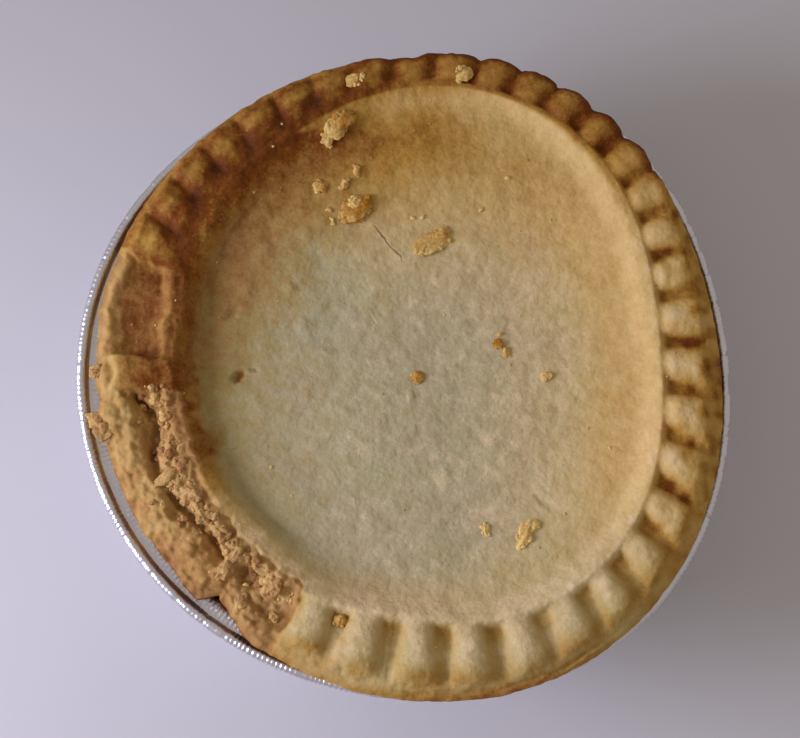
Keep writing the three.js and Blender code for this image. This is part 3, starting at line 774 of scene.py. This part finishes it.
# Flakes fallen on the lid and the rim: x, y, then length, width and height in mm, the turn, and
# how deep they are baked
FLAKES = (
    (-11.6, 41.8, 5.4, 3.8, 1.5, 50, 0.35),
    (-10.2, 43.0, 3.8, 3.4, 1.9, 10, 0.8),
    (-13.2, 39.6, 2.4, 2.2, 1.2, 80, 0.3),
    (-8.2, 27.2, 5.4, 4.0, 1.5, 20, 0.75),
    (-6.7, 28.4, 3.4, 3.0, 1.9, 70, 0.9),
    (-8.3, 28.4, 2.6, 2.4, 2.3, 30, -0.1),
    (-9.9, 26.6, 2.2, 1.8, 1.3, 10, 0.5),
    (5.2, 21.8, 7.0, 3.6, 1.1, 25, 0.35),
    (3.4, 20.9, 3.4, 2.8, 1.3, 60, 0.3),
    (6.8, 23.2, 3.0, 2.0, 1.3, 10, 0.5),
    (-14.5, 31.6, 2.6, 2.2, 1.2, 0, 0.5),
    (-10.1, 31.9, 2.2, 1.3, 0.9, 60, 0.4),
    (-8.1, 34.2, 2.0, 1.3, 0.9, 100, 0.4),
    (-12.8, 27.4, 1.3, 0.8, 0.6, 140, 0.3),
    (-12.2, 25.4, 1.6, 0.6, 0.5, 100, 0.2),
    (2.5, -1.9, 2.3, 2.0, 1.1, 0, 0.75),
    (16.3, 3.9, 2.1, 1.8, 1.0, 110, 0.8),
    (17.7, 2.5, 1.9, 1.3, 0.8, 80, 0.3),
    (16.6, 5.6, 1.0, 0.7, 0.6, 0, 0.4),
    (24.5, -1.7, 2.2, 1.5, 0.9, 20, 0.2),
    (20.3, -28.9, 5.6, 2.4, 1.3, 68, 0.1),
    (21.6, -27.4, 2.6, 1.8, 1.2, 40, 0.05),
    (13.8, -28.0, 2.4, 1.3, 0.7, 100, 0.1),
    (10.6, 51.2, 3.3, 2.6, 1.3, 20, 0.3),
    (-8.4, 50.2, 3.2, 2.8, 1.0, 10, 0.2),
    (-10.3, -43.2, 2.2, 2.1, 1.7, 90, 0.45),
    (1.7, 26.0, 0.9, 0.7, 0.5, 0, -0.2),
    (3.4, 26.2, 1.0, 0.7, 0.5, 40, -0.2),
    (13.5, 27.4, 1.1, 0.7, 0.5, 50, -0.1),
    (18.1, 33.0, 1.0, 0.8, 0.5, 0, -0.3),
)
# Lumps of crust that hang on at the break: bearing, radius, sizes in mm and turn
CRAGS = (
    (190.6, 52.3, 3.6, 3.4, 1.4, 0),
    (193.2, 51.6, 3.0, 3.4, 1.3, 30),
    (181.4, 51.9, 2.4, 2.2, 1.2, 0),
    (206.5, 44.0, 5.0, 2.2, 1.4, 10),
    (213.0, 41.2, 2.6, 3.0, 1.4, 40),
    (218.5, 42.2, 2.8, 2.4, 1.5, 0),
    (224.5, 41.4, 2.6, 2.4, 1.4, 60),
    (220.5, 40.6, 1.8, 1.6, 1.2, 0),
    (230.2, 45.6, 3.4, 2.2, 1.5, 0),
    (229.6, 42.4, 3.6, 2.4, 1.5, 10),
    (236.6, 48.2, 3.2, 2.6, 1.1, 20),
    (237.2, 44.4, 2.8, 1.2, 0.9, -35),
    (240.7, 43.3, 2.6, 2.8, 1.8, 15),
    (243.6, 47.4, 2.0, 1.8, 1.2, 0),
)


BREAK_CRUMBS = 200
LOOSE_CRUMBS = 130
LOOSE_REACH = 49  # mm from the axis


def flake_lumps():
    """The fallen flakes: each a flat piece with smaller ones round its crumbly edge"""
    for number, (x, y, length, width, height, turn, tone) in enumerate(FLAKES):
        seed = 40.0 + number
        yield on_top(x, y, 0.15 * height), (length, width, height), turn, seed, 5, 0.4, tone
        draw = random.Random(seed)
        cos, sin = math.cos(math.radians(turn)), math.sin(math.radians(turn))
        for index in range(int(1.6 * (length + width)) if length > 1.5 else 0):
            far, angle = draw.uniform(0.65, 1.0), draw.uniform(0, 2 * math.pi)
            along, across = 0.5 * length * far * math.cos(angle), 0.5 * width * far * math.sin(angle)
            size = draw.uniform(0.5, 0.3 * width + 0.5)
            px, py = x + along * cos - across * sin, y + along * sin + across * cos
            place = on_top(px, py, 0.05 * size + 0.3 * height * math.sqrt(1.001 - far * far))
            shape = (size, size * draw.uniform(0.6, 1.0), size * draw.uniform(0.35, 0.6))
            turned, own = draw.uniform(0, 360), tone + draw.uniform(-0.3, 0.15)
            yield place, shape, turned, seed + 0.37 * index, 3, 0.5, own


def crag_lumps():
    """The crags of the break; those beyond the lip lie on the foil's bead"""
    for index, (bearing, radius, length, width, height, turn) in enumerate(CRAGS):
        x, y = polar(bearing, radius)
        centre, rough = on_top(x, y, 0.1 * height), 0.75
        if radius > rings_at(bearing).lip - 0.3:
            centre, rough = (x, y, BEAD_TOP + GAP + 0.55 * height), 0.9
        yield centre, (length, width, height), bearing + turn, 70.0 + index, 5, rough, 0.5


def crumb_lumps():
    """Fine crumbs: thick in the break, thin over the rest of the pie"""
    draw = random.Random(7)
    for index in range(BREAK_CRUMBS):
        bearing = draw.uniform(186, 246)
        rings = rings_at(bearing)
        spread = abs(draw.gauss(0, 0.2))
        radius = mix(rings.crest - 0.5, rings.lip - 1, min(0.16 + spread, 0.97))
        size = 0.5 + 1.5 * draw.random() ** 2
        shape = (size, size * draw.uniform(0.6, 1.0), size * draw.uniform(0.5, 0.8))
        turn, tone = draw.uniform(0, 360), draw.uniform(0.4, 1.1)
        yield on_top(*polar(bearing, radius), -0.06 * size), shape, turn, 90.0 + index, 3, 0.5, tone
    for index in range(LOOSE_CRUMBS):
        radius = LOOSE_REACH * math.sqrt(draw.random())
        bearing = draw.uniform(0, 360)
        size = 0.22 + 0.55 * draw.random() ** 3
        shape = (size, size * draw.uniform(0.6, 1.0), size * 0.5)
        turn, tone = draw.uniform(0, 360), draw.uniform(0.1, 0.6)
        yield on_top(*polar(bearing, radius), 0.02 * size), shape, turn, 700.0 + index, 2, 0.3, tone


# Pieces made of lumps: name, lumps, then the name of the material, its pale and its deep colour
# and the size of its patches in mm
LUMP_PIECES = (
    ("fallen_flakes", flake_lumps, "flaked crust, golden", "flake", "flake_deep", 2.4),
    ("crags", crag_lumps, "broken crust, crumbly", "butter", "broken", 2.0),
    ("fine_crumbs", crumb_lumps, "loose crumbs, dry", "flake", "broken", 1.5),
)


def scatter_lumps():
    """Gathers each kind of lump into one piece, with the tone that says how deep each is baked"""
    colours = palette()
    for name, lumps, material, pale, deep, patch_mm in LUMP_PIECES:
        gathered = bmesh.new()
        gathered.verts.layers.float.new("tone")
        for each in lumps():
            lump(gathered, *each)
        crumb = crumb_of(material, getattr(colours, pale), getattr(colours, deep), patch_mm)
        dress(finished(name, gathered), crumb, "pastry")


# ---------- materials ----------

def linear(hex_colour):
    """A colour written as sRGB hex, as linear RGBA"""
    channels = [int(hex_colour[index:index + 2], 16) / 255 for index in (1, 3, 5)]
    curved = [c / 12.92 if c <= 0.04045 else ((c + 0.055) / 1.055) ** 2.4 for c in channels]
    return (*curved, 1.0)


def palette():
    """The colours of the panel, as linear RGBA"""
    group = bpy.context.scene.pie_colours
    colours = {name: (*getattr(group, name), 1.0) for name in PieColours.__annotations__}
    return SimpleNamespace(**colours)


def new_material(name):
    material = bpy.data.materials.new(name)
    material.use_nodes = True
    material.node_tree.nodes.clear()
    return material, material.node_tree


def add_node(tree, kind, settings, output=0):
    """Adds a node and returns one of its outputs. A setting goes to the property of its name, or
    else to the socket of its name or number, and another node's output is linked in there."""
    node = tree.nodes.new("ShaderNode" + kind)
    for key, value in settings.items():
        if isinstance(value, bpy.types.NodeSocket):
            tree.links.new(value, node.inputs[key])
        elif key == "stops":
            elements = node.color_ramp.elements
            while len(elements) < len(value):
                elements.new(0.5)
            for element, (position, colour) in zip(elements, value):
                element.position = position
                element.color = colour
        elif hasattr(node, str(key)):
            setattr(node, key, value)
        else:
            node.inputs[key].default_value = value
    return node.outputs[output] if node.outputs else None


def with_noise(tree, base, *layers):
    """Adds layers of noise, on Object coordinates, to a base. A layer is (the size of its features
    in mm, how far it swings, its detail, its roughness)."""
    place = add_node(tree, "TexCoord", {}, "Object")
    for size_mm, swing, detail, rough in layers:
        raw = add_node(tree, "TexNoise", {
            "Vector": place, "Scale": 1 / (size_mm * MM), "Detail": detail, "Roughness": rough})
        even = add_node(tree, "Math", {"operation": "SUBTRACT", 0: raw, 1: 0.5})
        base = add_node(tree, "Math", {"operation": "MULTIPLY_ADD", 0: even, 1: swing, 2: base})
    return base


def add_surface(tree, settings):
    shader = add_node(tree, "BsdfPrincipled", settings)
    add_node(tree, "OutputMaterial", {"Surface": shader})


def lid_crack(tree):
    """1 on the fine crack that wanders across the lid, 0 beside it; the pastry paints the crack dark
    brown as its shade
    """
    (start_x, start_y), (end_x, end_y) = LID_CRACK[0], LID_CRACK[-1]
    place = add_node(tree, "TexCoord", {}, "Object")
    x, y = (add_node(tree, "SeparateXYZ", {"Vector": place}, axis) for axis in "XY")
    line = add_node(tree, "MapRange", {
        "Value": y, "From Min": start_y * MM, "From Max": end_y * MM,
        "To Min": start_x * MM, "To Max": end_x * MM})
    wandering = with_noise(tree, line, (2.0, 2.0 * MM, 3.0, 0.55))
    aside = add_node(tree, "Math", {"operation": "SUBTRACT", 0: x, 1: wandering})
    gap = add_node(tree, "Math", {"operation": "ABSOLUTE", 0: aside})
    crack = 1.0
    fades = ((gap, 0.24, 0.04), (y, end_y, end_y + 1.5), (y, start_y, start_y - 1))
    for value, gone_mm, full_mm in fades:
        share = add_node(tree, "MapRange", {
            "Value": value, "From Min": gone_mm * MM, "From Max": full_mm * MM})
        crack = add_node(tree, "Math", {"operation": "MULTIPLY", 0: crack, 1: share})
    return crack


def pastry_material():
    """Shortcrust pastry, rolled, crimped and baked: matt and pale where the dough stayed cool,
    golden to brown on the rim, with fine blisters, a fine crack across the lid painted dark as
    its shade, and a dry, short crumb where broken. Its browning also carries painted shade and
    painted highlights."""
    material, tree = new_material("shortcrust, baked golden")
    colours = palette()
    browning, crumb, warmth = (
        add_node(tree, "Attribute", {"attribute_name": name}, "Fac")
        for name in ("browning", "crumb", "warmth"))
    uneven = with_noise(tree, 0.0, (9.0, 0.4, 4.0, 0.55), (2.2, 0.8, 4.0, 0.6), (0.5, 0.4, 2.0, 0.55))
    strength = add_node(tree, "Math", {"operation": "MULTIPLY_ADD", 0: browning, 1: 0.12, 2: 0.4})
    tone = add_node(tree, "Math", {"operation": "MULTIPLY_ADD", 0: uneven, 1: strength, 2: browning})
    floury = add_node(tree, "ValToRGB", {"Fac": tone, "stops": (
        (0.0, colours.pale), (0.16, colours.dough), (0.38, colours.olive), (0.5, colours.tan),
        (0.75, colours.brown), (1.0, colours.dark))})
    buttery = add_node(tree, "ValToRGB", {"Fac": tone, "stops": (
        (0.0, colours.pale), (0.16, colours.butter), (0.5, colours.golden),
        (0.75, colours.brown), (1.0, colours.dark))})
    baked = add_node(tree, "Mix", {"data_type": "RGBA", 0: warmth, 6: floury, 7: buttery}, 2)
    cast = add_node(tree, "Mix", {
        "data_type": "RGBA", 0: with_noise(tree, 0.5, (15.0, 1.0, 2.0, 0.55)),
        6: linear("#fff6fa"), 7: linear("#f8fff0")}, 2)
    baked = add_node(tree, "Mix", {
        "data_type": "RGBA", "blend_type": "MULTIPLY", 0: 1.0, 6: baked, 7: cast}, 2)
    inside = add_node(tree, "Mix", {
        "data_type": "RGBA", 0: with_noise(tree, 0.5, (1.3, 1.0, 4.0, 0.55)),
        6: colours.butter, 7: colours.broken}, 2)
    crack = lid_crack(tree)
    colour = baked
    # The crumb colour goes on the broken rim; the fine crack is painted dark brown, as painted shade in
    # the crack.
    for cover, over in ((crumb, inside), (crack, linear("#6b5426"))):
        share = add_node(tree, "Math", {"operation": "MULTIPLY", 0: cover, 1: 0.7})
        colour = add_node(tree, "Mix", {"data_type": "RGBA", 0: share, 6: colour, 7: over}, 2)
    height = with_noise(tree, 0.0, (3.4, 0.6, 2.0, 0.55), (1.5, 0.19, 2.0, 0.5), (0.45, 0.07, 2.0, 0.5))
    height = add_node(tree, "Math", {"operation": "MULTIPLY_ADD", 0: crack, 1: -0.18, 2: height})
    add_surface(tree, {
        "Base Color": colour,
        "Roughness": with_noise(tree, 0.7, (3.0, 0.3, 3.0, 0.55)),
        "Normal": add_node(tree, "Bump", {"Strength": 0.9, "Distance": MM, "Height": height}),
        "IOR": 1.45, "Specular IOR Level": 0.14,
        "Subsurface Weight": 0.12, "Subsurface Scale": 1.5 * MM,
    })
    return material


def crumb_of(name, pale, deep, patch_mm):
    """Crumb of baked shortcrust, dry and open: pale where it tore, deeper where it was the
    outside, so each crumb is mottled, with no shine."""
    material, tree = new_material(name)
    tone = add_node(tree, "Attribute", {"attribute_name": "tone"}, "Fac")
    baked = add_node(tree, "Math", {"operation": "MULTIPLY_ADD", 0: tone, 1: 0.6, 2: 0.2})
    baked = with_noise(tree, baked, (patch_mm, 1.0, 3.0, 0.55))
    patches = add_node(tree, "ValToRGB", {"Fac": baked, "stops": ((0.2, pale), (0.8, deep))})
    grains = add_node(tree, "ValToRGB", {
        "Fac": with_noise(tree, 0.5, (0.5, 1.0, 2.0, 0.6)),
        "stops": ((0.3, linear("#d8d0c4")), (0.7, linear("#ffffff")))})
    height = with_noise(tree, 0.0, (0.6, 0.16, 3.0, 0.6))
    add_surface(tree, {
        "Base Color": add_node(tree, "Mix", {
            "data_type": "RGBA", "blend_type": "MULTIPLY", 0: 1.0, 6: patches, 7: grains}, 2),
        "Normal": add_node(tree, "Bump", {"Strength": 1.0, "Distance": MM, "Height": height}),
        "Roughness": 0.85, "IOR": 1.45, "Specular IOR Level": 0.14,
        "Subsurface Weight": 0.15, "Subsurface Scale": MM,
    })
    return material


def foil_material():
    """Aluminium foil, rolled bright and pressed into pleats: a mirror broken up by folds, with a
    soft haze from rolling."""
    material, tree = new_material("pressed aluminium foil")
    colours = palette()
    haze = with_noise(tree, 0.5, (6.0, 1.0, 5.0, 0.6))
    folds = with_noise(tree, 0.0, (1.8, 0.13, 3.0, 0.55), (0.45, 0.04, 3.0, 0.6))
    add_surface(tree, {
        "Base Color": add_node(tree, "Mix", {
            "data_type": "RGBA", 0: haze, 6: colours.foil, 7: colours.foil_dull}, 2),
        "Roughness": add_node(tree, "Math", {"operation": "MULTIPLY_ADD", 0: haze, 1: 0.2, 2: 0.22}),
        "Normal": add_node(tree, "Bump", {"Strength": 1.0, "Distance": MM, "Height": folds}),
        "Metallic": 1.0,
    })
    return material


def table_material():
    """A painted table top, smooth and pale with a lilac cast: flat, with only a faint cloudiness."""
    material, tree = new_material("pale painted table")
    first = palette().table
    second = tuple(0.96 * channel for channel in first)
    cloud = with_noise(tree, 0.5, (60.0, 1.0, 3.0, 0.55))
    colour = add_node(tree, "Mix", {"data_type": "RGBA", 0: cloud, 6: first, 7: second}, 2)
    add_surface(tree, {"Base Color": colour, "Roughness": 0.6})
    return material


# ---------- settings ----------

def length(name, description, default_mm):
    return FloatProperty(
        name=name, description=description, default=default_mm * MM, unit="LENGTH", precision=5)


def colour(name, description, hex_colour):
    return FloatVectorProperty(
        name=name, description=description, subtype="COLOR", size=3, min=0, max=1,
        default=linear(hex_colour)[:3],
    )


class PieSizes(PropertyGroup):
    crimps: IntProperty(name="Crimps", description="Ridges round the whole rim", default=40, min=8)
    groove_depth: length("Groove depth", "Depth of a groove at its inner end", 2.2)
    ridge_height: length("Ridge height", "How far a ridge stands over the crest", 0.75)
    lid_depth: length("Lid depth", "From the foot of the crimps down to the sunk lid", 5.1)
    pleats: IntProperty(
        name="Pleats", description="Pleats pressed round the foil wall", default=120, min=12)
    ribs: IntProperty(
        name="Ribs", description="Fine ribs round the flange and the bead", default=400, min=12)
    foil_thickness: length("Foil thickness", "Thickness of the foil as drawn", 0.3)


class PieColours(PropertyGroup):
    pale: colour("Pale crust", "The palest crust, on the band round the lid", "#e4caa0")
    dough: colour("Dough", "Floury crust in the middle of the lid", "#b5ac8c")
    butter: colour("Buttery crust", "Warm pale crust on the slopes and ridges", "#dcba78")
    olive: colour("Olive crust", "Crust between floury and golden, low on the lid", "#a9945f")
    tan: colour("Tan crust", "Crust on the lid and its slope at the left", "#a5804a")
    golden: colour("Golden crust", "Crust on the ridges", "#b5883a")
    brown: colour("Brown crust", "Crust on the far rim and in the grooves", "#7a410f")
    dark: colour("Dark crust", "The darkest baked edge", "#44200a")
    broken: colour("Broken crust", "Dry crumb inside the crust", "#a8784a")
    flake: colour("Flake", "Pale torn side of a fallen flake", "#f0cf82")
    flake_deep: colour("Deep flake", "Golden outside of a fallen flake", "#b67a20")
    foil: colour("Foil", "Bright aluminium", "#eceaee")
    foil_dull: colour("Dull foil", "Aluminium under a dried film", "#d4d1d3")
    table: colour("Table", "Pale table top", "#c9c6c8")


class StageSettings(PropertyGroup):
    camera_distance: FloatProperty(
        name="Camera distance", description="From the camera to the pie", default=0.26, unit="LENGTH")
    camera_tilt: FloatProperty(
        name="Camera tilt", description="From straight down, towards the near side",
        default=math.radians(12), subtype="ANGLE")
    key_power: FloatProperty(
        name="Key light", description="Soft light from the left", default=0.45, unit="POWER")
    key_spread: FloatProperty(
        name="Key spread", description="How widely the key light fans out",
        default=math.radians(90), subtype="ANGLE")
    fill: FloatProperty(
        name="Fill light", description="Strength of the even light round the stage", default=0.46)


# ---------- operators ----------

class PIE_OT_bake_crust(Operator):
    """Models the crust with its sunk lid, crimps and broken rim"""
    bl_idname = "pie.bake_crust"
    bl_label = "Bake crust"

    def execute(self, context):
        build_crust()
        return {"FINISHED"}


class PIE_OT_scatter_crumbs(Operator):
    """Lays the fallen flakes, the crags of the break and the fine crumbs"""
    bl_idname = "pie.scatter_crumbs"
    bl_label = "Scatter crumbs"

    def execute(self, context):
        scatter_lumps()
        return {"FINISHED"}


class PIE_OT_press_foil(Operator):
    """Presses the pleated foil tin with its rolled bead"""
    bl_idname = "pie.press_foil"
    bl_label = "Press foil"

    def execute(self, context):
        build_foil()
        return {"FINISHED"}


class PIE_OT_lay_stage(Operator):
    """Lays the table, the soft light and the camera"""
    bl_idname = "pie.lay_stage"
    bl_label = "Lay stage"

    def execute(self, context):
        lay_table()
        hang_lights(context.scene)
        place_camera(context.scene)
        return {"FINISHED"}


TABLE_SIZE = 3.0
CAMERA_TARGET = (-0.54, -0.43, 31)
FIELD_WIDTH = 136.93  # mm of the scene that the picture is wide, at the camera's target
KEY_PLACE = (-335, -65, 175)
KEY_AIM = (-40, -50, 10)
KEY_SIZE = 200


def lay_table():
    mesh_builder = bmesh.new()
    bmesh.ops.create_grid(mesh_builder, x_segments=1, y_segments=1, size=TABLE_SIZE / 2)
    table = finished("table", mesh_builder)
    table.data.materials.append(table_material())


def hang_lights(scene):
    settings = scene.stage_settings
    lamp = bpy.data.lights.new("key", "AREA")
    lamp.energy = settings.key_power
    lamp.shape = "DISK"
    lamp.size = KEY_SIZE * MM
    lamp.spread = settings.key_spread
    lamp.color = linear("#e0e2ff")[:3]
    light = bpy.data.objects.new("key", lamp)
    light.location = Vector(KEY_PLACE) * MM
    light.rotation_euler = (Vector(KEY_AIM) * MM - light.location).to_track_quat("-Z", "Y").to_euler()
    scene.collection.objects.link(light)
    world = bpy.data.worlds.new("studio")
    world.use_nodes = True
    background = world.node_tree.nodes["Background"]
    background.inputs["Color"].default_value = linear("#f2e8e2")
    background.inputs["Strength"].default_value = settings.fill
    scene.world = world
    scene.view_settings.view_transform = "Standard"


def place_camera(scene):
    settings = scene.stage_settings
    data = bpy.data.cameras.new("camera")
    data.sensor_width = 36
    data.lens = data.sensor_width * settings.camera_distance / (FIELD_WIDTH * MM)
    data.clip_start = 0.01
    camera = bpy.data.objects.new("camera", data)
    tilt = settings.camera_tilt
    back = Vector((0, -math.sin(tilt), math.cos(tilt)))
    camera.location = Vector(CAMERA_TARGET) * MM + back * settings.camera_distance
    camera.rotation_euler = (tilt, 0, 0)
    scene.collection.objects.link(camera)
    scene.camera = camera


class PIE_PT_panel(Panel):
    """Lists the sizes, the colours and the steps that make the pie"""
    bl_label = "Savoury pie"
    bl_space_type = "VIEW_3D"
    bl_region_type = "UI"
    bl_category = "Pie"

    def draw(self, context):
        for group in (context.scene.pie_sizes, context.scene.pie_colours, context.scene.stage_settings):
            box = self.layout.box()
            for name in group.__annotations__:
                box.prop(group, name)
        for step in STEPS:
            self.layout.operator(step.bl_idname)


STEPS = (PIE_OT_lay_stage, PIE_OT_press_foil, PIE_OT_bake_crust, PIE_OT_scatter_crumbs)
GROUPS = {"pie_sizes": PieSizes, "pie_colours": PieColours, "stage_settings": StageSettings}


def register():
    for group in (*GROUPS.values(), *STEPS, PIE_PT_panel):
        bpy.utils.register_class(group)
    for name, group in GROUPS.items():
        setattr(bpy.types.Scene, name, PointerProperty(type=group))


def unregister():
    for name in GROUPS:
        delattr(bpy.types.Scene, name)
    for group in reversed((*GROUPS.values(), *STEPS, PIE_PT_panel)):
        bpy.utils.unregister_class(group)


def main():
    register()
    for step in STEPS:
        group, name = step.bl_idname.split(".")
        getattr(getattr(bpy.ops, group), name)()


if __name__ == "__main__":
    main()
